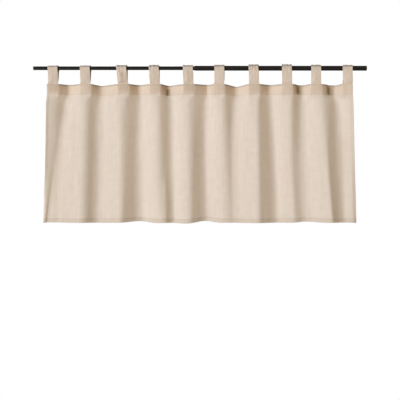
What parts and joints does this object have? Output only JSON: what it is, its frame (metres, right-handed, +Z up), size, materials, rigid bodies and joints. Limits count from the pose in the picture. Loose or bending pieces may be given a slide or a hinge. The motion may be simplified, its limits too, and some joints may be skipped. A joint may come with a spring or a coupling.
{
  "type": "tab top curtain on a telescopic rod",
  "caption": "Short plain tab top curtain that hangs in soft uneven folds from a thin two-part rod.",
  "frame": {"origin": "on the rod's axis, halfway along the rod", "axes": "+X along the rod towards its thick end, +Y away from the room, +Z up"},
  "size_m": [1.3, 0.0539, 0.6171],
  "materials": {
    "cloth": "plain woven cotton and linen cloth, undyed beige, matt",
    "tab_cloth": "the same cloth folded to four layers and pressed",
    "rod": "black powder coat, satin",
    "cap": "black moulded plastic, matt"
  },
  "bodies": {
    "root": {"curtain_panel": "cloth", "heading_band": "cloth", "tab_01": "tab_cloth", "tab_02": "tab_cloth", "tab_03": "tab_cloth", "tab_04": "tab_cloth", "tab_05": "tab_cloth", "tab_06": "tab_cloth", "tab_07": "tab_cloth", "tab_08": "tab_cloth", "tab_09": "tab_cloth", "tab_10": "tab_cloth", "rod_inner_tube": "rod", "rod_outer_tube": "rod", "rod_end_cap_left": "cap", "rod_end_cap_right": "cap"}
  },
  "joints": []
}
